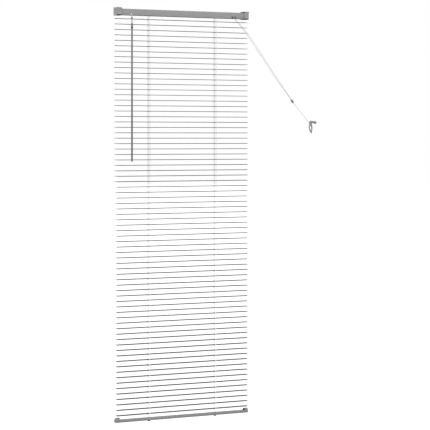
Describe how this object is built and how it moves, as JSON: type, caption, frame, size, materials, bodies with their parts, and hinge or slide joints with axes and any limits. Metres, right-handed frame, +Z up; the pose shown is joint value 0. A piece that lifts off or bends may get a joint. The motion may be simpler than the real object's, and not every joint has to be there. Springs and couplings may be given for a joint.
{
  "type": "venetian blind",
  "caption": "Horizontal slatted window blind hung from a slim head rail in box brackets, with string ladders, a tilt wand, a cord lock, a pull cord with a wall cleat and a weighted bottom rail.",
  "frame": {"origin": "on the wall plane, midway between the two brackets and level with their tops", "axes": "+X along the slats to the cord side, +Y into the wall, +Z up; the room is at -Y"},
  "size_m": [0.9276, 0.0367, 1.6039],
  "materials": {
    "rail_paint": "satin grey paint",
    "slat_paint": "satin grey paint",
    "white_nylon": "matt moulded",
    "zinc_steel": "zinc plated",
    "wand_plastic": "smooth glossy",
    "grey_plastic": "satin moulded",
    "cord_fibre": "braided polyester"
  },
  "bodies": {
    "frame": {"head_rail": "rail_paint", "left_bracket": "rail_paint", "right_bracket": "rail_paint", "tilter_housing": "white_nylon", "left_cradle": "white_nylon", "right_cradle": "white_nylon", "cord_lock": "white_nylon", "left_lift_cord": "cord_fibre", "right_lift_cord": "cord_fibre", "pull_cord_left": "cord_fibre", "pull_cord_right": "cord_fibre", "cord_joiner": "grey_plastic", "pull_cord_tail": "cord_fibre", "cord_cleat": "grey_plastic", "cleat_screw": "zinc_steel"},
    "left_bracket_door": {"left_bracket_door": "rail_paint"},
    "right_bracket_door": {"right_bracket_door": "rail_paint"},
    "tilt_shaft": {"tilt_rod": "zinc_steel", "tilter_gear": "white_nylon", "left_tilt_drum": "white_nylon", "right_tilt_drum": "white_nylon"},
    "tilter_worm": {"tilter_worm": "white_nylon"},
    "wand_socket": {"wand_socket": "wand_plastic"},
    "tilt_wand": {"tilt_wand": "wand_plastic", "wand_collar": "grey_plastic"},
    "cord_lock_roller": {"cord_lock_roller": "zinc_steel"},
    "front_ladder_cords": {"left_ladder_front": "cord_fibre", "right_ladder_front": "cord_fibre"},
    "back_ladder_cords": {"left_ladder_back": "cord_fibre", "right_ladder_back": "cord_fibre"},
    "bottom_rail": {"bottom_rail": "slat_paint", "left_end_cap": "grey_plastic", "right_end_cap": "grey_plastic", "left_cord_plug": "grey_plastic", "right_cord_plug": "grey_plastic"},
    "slat_01": {"slat_01": "slat_paint"},
    "slat_04": {"slat_04": "slat_paint"},
    "slat_07": {"slat_07": "slat_paint"},
    "slat_10": {"slat_10": "slat_paint"},
    "slat_13": {"slat_13": "slat_paint"},
    "slat_16": {"slat_16": "slat_paint"},
    "slat_19": {"slat_19": "slat_paint"},
    "slat_22": {"slat_22": "slat_paint"},
    "slat_25": {"slat_25": "slat_paint"},
    "slat_28": {"slat_28": "slat_paint"},
    "slat_31": {"slat_31": "slat_paint"},
    "slat_34": {"slat_34": "slat_paint"},
    "slat_37": {"slat_37": "slat_paint"},
    "slat_40": {"slat_40": "slat_paint"},
    "slat_43": {"slat_43": "slat_paint"},
    "slat_46": {"slat_46": "slat_paint"},
    "slat_49": {"slat_49": "slat_paint"},
    "slat_52": {"slat_52": "slat_paint"},
    "slat_55": {"slat_55": "slat_paint"},
    "slat_58": {"slat_58": "slat_paint"},
    "slat_61": {"slat_61": "slat_paint"},
    "slat_64": {"slat_64": "slat_paint"},
    "slat_67": {"slat_67": "slat_paint"},
    "slat_70": {"slat_70": "slat_paint"},
    "slat_73": {"slat_73": "slat_paint"}
  },
  "joints": [
    {"name": "tilt", "type": "hinge", "parent": "frame", "child": "tilt_shaft", "pos_m": [0, -0.0155, -0.0185], "axis": [1, 0, 0], "range_deg": [0, 75]},
    {"name": "bottom_rail_tilt", "type": "hinge", "parent": "frame", "child": "bottom_rail", "pos_m": [0, -0.0155, -1.59448], "axis": [1, 0, 0], "range_deg": [0, 75], "deforming": ["left_lift_cord", "right_lift_cord"]},
    {"name": "slat_01_tilt", "type": "hinge", "parent": "frame", "child": "slat_01", "pos_m": [0, -0.0155, -0.044], "axis": [1, 0, 0], "range_deg": [0, 75]},
    {"name": "slat_04_tilt", "type": "hinge", "parent": "frame", "child": "slat_04", "pos_m": [0, -0.0155, -0.10688], "axis": [1, 0, 0], "range_deg": [0, 75]},
    {"name": "slat_07_tilt", "type": "hinge", "parent": "frame", "child": "slat_07", "pos_m": [0, -0.0155, -0.16976], "axis": [1, 0, 0], "range_deg": [0, 75]},
    {"name": "slat_10_tilt", "type": "hinge", "parent": "frame", "child": "slat_10", "pos_m": [0, -0.0155, -0.23264], "axis": [1, 0, 0], "range_deg": [0, 75]},
    {"name": "slat_13_tilt", "type": "hinge", "parent": "frame", "child": "slat_13", "pos_m": [0, -0.0155, -0.29552], "axis": [1, 0, 0], "range_deg": [0, 75]},
    {"name": "slat_16_tilt", "type": "hinge", "parent": "frame", "child": "slat_16", "pos_m": [0, -0.0155, -0.3584], "axis": [1, 0, 0], "range_deg": [0, 75]},
    {"name": "slat_19_tilt", "type": "hinge", "parent": "frame", "child": "slat_19", "pos_m": [0, -0.0155, -0.42128], "axis": [1, 0, 0], "range_deg": [0, 75]},
    {"name": "slat_22_tilt", "type": "hinge", "parent": "frame", "child": "slat_22", "pos_m": [0, -0.0155, -0.48416], "axis": [1, 0, 0], "range_deg": [0, 75]},
    {"name": "slat_25_tilt", "type": "hinge", "parent": "frame", "child": "slat_25", "pos_m": [0, -0.0155, -0.54704], "axis": [1, 0, 0], "range_deg": [0, 75]},
    {"name": "slat_28_tilt", "type": "hinge", "parent": "frame", "child": "slat_28", "pos_m": [0, -0.0155, -0.60992], "axis": [1, 0, 0], "range_deg": [0, 75]},
    {"name": "slat_31_tilt", "type": "hinge", "parent": "frame", "child": "slat_31", "pos_m": [0, -0.0155, -0.6728], "axis": [1, 0, 0], "range_deg": [0, 75]},
    {"name": "slat_34_tilt", "type": "hinge", "parent": "frame", "child": "slat_34", "pos_m": [0, -0.0155, -0.73568], "axis": [1, 0, 0], "range_deg": [0, 75]},
    {"name": "slat_37_tilt", "type": "hinge", "parent": "frame", "child": "slat_37", "pos_m": [0, -0.0155, -0.79856], "axis": [1, 0, 0], "range_deg": [0, 75]},
    {"name": "slat_40_tilt", "type": "hinge", "parent": "frame", "child": "slat_40", "pos_m": [0, -0.0155, -0.86144], "axis": [1, 0, 0], "range_deg": [0, 75]},
    {"name": "slat_43_tilt", "type": "hinge", "parent": "frame", "child": "slat_43", "pos_m": [0, -0.0155, -0.92432], "axis": [1, 0, 0], "range_deg": [0, 75]},
    {"name": "slat_46_tilt", "type": "hinge", "parent": "frame", "child": "slat_46", "pos_m": [0, -0.0155, -0.9872], "axis": [1, 0, 0], "range_deg": [0, 75]},
    {"name": "slat_49_tilt", "type": "hinge", "parent": "frame", "child": "slat_49", "pos_m": [0, -0.0155, -1.05008], "axis": [1, 0, 0], "range_deg": [0, 75]},
    {"name": "slat_52_tilt", "type": "hinge", "parent": "frame", "child": "slat_52", "pos_m": [0, -0.0155, -1.11296], "axis": [1, 0, 0], "range_deg": [0, 75]},
    {"name": "slat_55_tilt", "type": "hinge", "parent": "frame", "child": "slat_55", "pos_m": [0, -0.0155, -1.17584], "axis": [1, 0, 0], "range_deg": [0, 75]},
    {"name": "slat_58_tilt", "type": "hinge", "parent": "frame", "child": "slat_58", "pos_m": [0, -0.0155, -1.23872], "axis": [1, 0, 0], "range_deg": [0, 75]},
    {"name": "slat_61_tilt", "type": "hinge", "parent": "frame", "child": "slat_61", "pos_m": [0, -0.0155, -1.3016], "axis": [1, 0, 0], "range_deg": [0, 75]},
    {"name": "slat_64_tilt", "type": "hinge", "parent": "frame", "child": "slat_64", "pos_m": [0, -0.0155, -1.36448], "axis": [1, 0, 0], "range_deg": [0, 75]},
    {"name": "slat_67_tilt", "type": "hinge", "parent": "frame", "child": "slat_67", "pos_m": [0, -0.0155, -1.42736], "axis": [1, 0, 0], "range_deg": [0, 75]},
    {"name": "slat_70_tilt", "type": "hinge", "parent": "frame", "child": "slat_70", "pos_m": [0, -0.0155, -1.49024], "axis": [1, 0, 0], "range_deg": [0, 75]},
    {"name": "slat_73_tilt", "type": "hinge", "parent": "frame", "child": "slat_73", "pos_m": [0, -0.0155, -1.55312], "axis": [1, 0, 0], "range_deg": [0, 75]},
    {"name": "worm_turn", "type": "hinge", "parent": "frame", "child": "tilter_worm", "pos_m": [-0.231, -0.0223, -0.01533], "axis": [0, 0.4226, 0.9063], "range_deg": [0, 1050]},
    {"name": "wand_swing", "type": "hinge", "parent": "frame", "child": "wand_socket", "pos_m": [-0.231, -0.0324, -0.03699], "axis": [-1, 0, 0], "range_deg": [0, 50]},
    {"name": "wand_turn", "type": "hinge", "parent": "wand_socket", "child": "tilt_wand", "pos_m": [-0.231, -0.0324, -0.0803], "axis": [0, 0, 1], "range_deg": [0, 1050]},
    {"name": "front_ladder_slide", "type": "slide", "parent": "frame", "child": "front_ladder_cords", "axis": [0, 0.6088, -0.7934], "range_m": [0, 0.01522], "deforming": ["left_ladder_front", "right_ladder_front"]},
    {"name": "back_ladder_slide", "type": "slide", "parent": "front_ladder_cords", "child": "back_ladder_cords", "axis": [0, -0.6088, 0.7934], "range_m": [0, 0.03044], "deforming": ["left_ladder_back", "right_ladder_back"]},
    {"name": "left_door_hinge", "type": "hinge", "parent": "frame", "child": "left_bracket_door", "pos_m": [-0.2846, -0.0326, -0.0016], "axis": [-1, 0, 0], "range_deg": [0, 100]},
    {"name": "right_door_hinge", "type": "hinge", "parent": "frame", "child": "right_bracket_door", "pos_m": [0.2846, -0.0326, -0.0016], "axis": [-1, 0, 0], "range_deg": [0, 100]},
    {"name": "lock_roller_slide", "type": "slide", "parent": "frame", "child": "cord_lock_roller", "axis": [0.5, 0, 0.866], "range_m": [0, 0.003]}
  ],
  "couplings": [
    {"joint": "bottom_rail_tilt", "follows": "tilt", "ratio": 1},
    {"joint": "slat_01_tilt", "follows": "tilt", "ratio": 1},
    {"joint": "slat_04_tilt", "follows": "tilt", "ratio": 1},
    {"joint": "slat_07_tilt", "follows": "tilt", "ratio": 1},
    {"joint": "slat_10_tilt", "follows": "tilt", "ratio": 1},
    {"joint": "slat_13_tilt", "follows": "tilt", "ratio": 1},
    {"joint": "slat_16_tilt", "follows": "tilt", "ratio": 1},
    {"joint": "slat_19_tilt", "follows": "tilt", "ratio": 1},
    {"joint": "slat_22_tilt", "follows": "tilt", "ratio": 1},
    {"joint": "slat_25_tilt", "follows": "tilt", "ratio": 1},
    {"joint": "slat_28_tilt", "follows": "tilt", "ratio": 1},
    {"joint": "slat_31_tilt", "follows": "tilt", "ratio": 1},
    {"joint": "slat_34_tilt", "follows": "tilt", "ratio": 1},
    {"joint": "slat_37_tilt", "follows": "tilt", "ratio": 1},
    {"joint": "slat_40_tilt", "follows": "tilt", "ratio": 1},
    {"joint": "slat_43_tilt", "follows": "tilt", "ratio": 1},
    {"joint": "slat_46_tilt", "follows": "tilt", "ratio": 1},
    {"joint": "slat_49_tilt", "follows": "tilt", "ratio": 1},
    {"joint": "slat_52_tilt", "follows": "tilt", "ratio": 1},
    {"joint": "slat_55_tilt", "follows": "tilt", "ratio": 1},
    {"joint": "slat_58_tilt", "follows": "tilt", "ratio": 1},
    {"joint": "slat_61_tilt", "follows": "tilt", "ratio": 1},
    {"joint": "slat_64_tilt", "follows": "tilt", "ratio": 1},
    {"joint": "slat_67_tilt", "follows": "tilt", "ratio": 1},
    {"joint": "slat_70_tilt", "follows": "tilt", "ratio": 1},
    {"joint": "slat_73_tilt", "follows": "tilt", "ratio": 1},
    {"joint": "worm_turn", "follows": "tilt", "ratio": 14},
    {"joint": "wand_turn", "follows": "tilt", "ratio": 14},
    {"joint": "front_ladder_slide", "follows": "tilt", "m_per_rad": 0.011626},
    {"joint": "back_ladder_slide", "follows": "tilt", "m_per_rad": 0.023253}
  ]
}
